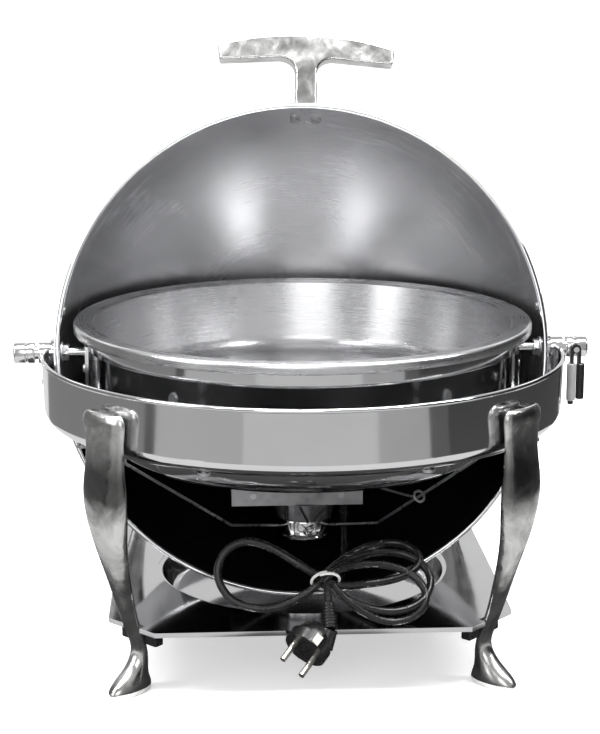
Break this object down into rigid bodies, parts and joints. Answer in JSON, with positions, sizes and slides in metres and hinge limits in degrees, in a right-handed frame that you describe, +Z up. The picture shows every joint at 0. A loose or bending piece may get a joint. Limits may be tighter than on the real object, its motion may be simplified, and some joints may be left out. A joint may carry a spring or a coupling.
{
  "type": "chafing dish food warmer",
  "caption": "Round roll-top chafing dish: dome lid on side pivots, food pan over a water pan in a steel ring on cast legs, a lower shelf, an electric heater and its tied mains cord.",
  "frame": {"origin": "on the floor, under the middle of the ring", "axes": "+Z up, front of the dish towards -Y, +X to the right seen from the front"},
  "size_m": [0.495, 0.45, 0.5143],
  "materials": {
    "polished_steel": "stainless sheet, mirror polished",
    "satin_steel": "stainless sheet, satin brushed",
    "cast_leg": "cast, hand polished and plated",
    "bright_turned": "turned and plated",
    "zinc_fastener": "zinc plated",
    "galvanised_sheet": "galvanised, dull",
    "steel_wire": "drawn wire, dull",
    "heater_alloy": "as cast",
    "insulation_wool": "pressed mineral wool",
    "black_plastic": "moulded, satin",
    "black_cord": "extruded jacket, satin",
    "grey_sleeve": "moulded, satin",
    "clear_tie": "soft, milky",
    "wire_insulation": "extruded",
    "plug_metal": "nickel plated"
  },
  "bodies": {
    "stand": {"ring_band": "polished_steel", "hinge_bracket_left": "polished_steel", "hinge_bracket_right": "polished_steel", "bracket_rivets": "zinc_fastener", "stand_bushes": "bright_turned", "pivot_pins": "bright_turned", "pivot_knob_left": "bright_turned", "pivot_knob_right": "bright_turned", "pivot_nuts": "zinc_fastener", "pivot_washers": "zinc_fastener", "leg_front_left": "cast_leg", "leg_front_right": "cast_leg", "leg_rear_left": "cast_leg", "leg_rear_right": "cast_leg", "leg_bolts": "zinc_fastener", "shelf": "polished_steel", "shelf_lugs": "black_plastic", "shelf_screws": "zinc_fastener", "water_pan": "polished_steel", "cradle_hoop": "polished_steel", "hangers": "polished_steel", "cradle_straps": "polished_steel", "cradle_arms": "galvanised_sheet", "arm_bolts": "zinc_fastener", "hanger_screws": "zinc_fastener", "heater_plate": "heater_alloy", "insulation_block": "insulation_wool", "heater_channel": "galvanised_sheet", "channel_screws": "zinc_fastener", "heater_neck": "galvanised_sheet", "heater_cup": "bright_turned", "thermostat": "black_plastic", "lead_wires": "wire_insulation", "support_rod_left": "steel_wire", "support_rod_right": "steel_wire", "hook_wire": "steel_wire", "latch_pin": "bright_turned", "cord_gland": "black_plastic", "cord_feed": "black_cord", "cord_loop": "black_cord", "cord_tail": "black_cord", "cord_hank": "black_cord", "cord_tie": "clear_tie", "plug_strain_relief": "black_plastic", "plug_body": "black_plastic", "plug_pins": "plug_metal", "earth_clips": "plug_metal"},
    "lid": {"lid_shell": "polished_steel", "lid_hem": "polished_steel", "lid_hinge_plates": "polished_steel", "lid_bushes": "bright_turned", "lid_rivets": "zinc_fastener", "lid_handle": "cast_leg", "handle_screws": "zinc_fastener"},
    "latch": {"latch_yoke": "black_plastic", "latch_sleeve_left": "grey_sleeve", "latch_sleeve_right": "black_plastic", "latch_tip": "black_plastic"},
    "food_pan_body": {"food_pan": "satin_steel"}
  },
  "joints": [
    {"name": "lid_roll", "type": "hinge", "parent": "stand", "child": "lid", "pos_m": [0, 0, 0.25], "axis": [1, 0, 0], "range_deg": [0, 103]},
    {"name": "latch_swing", "type": "hinge", "parent": "stand", "child": "latch", "pos_m": [0.2356, -0.0138, 0.2505], "axis": [0, -1, 0], "range_deg": [0, 90]},
    {"name": "food_pan_lift", "type": "slide", "parent": "stand", "child": "food_pan_body", "axis": [0, 0, 1], "range_m": [0, 0.025]}
  ]
}
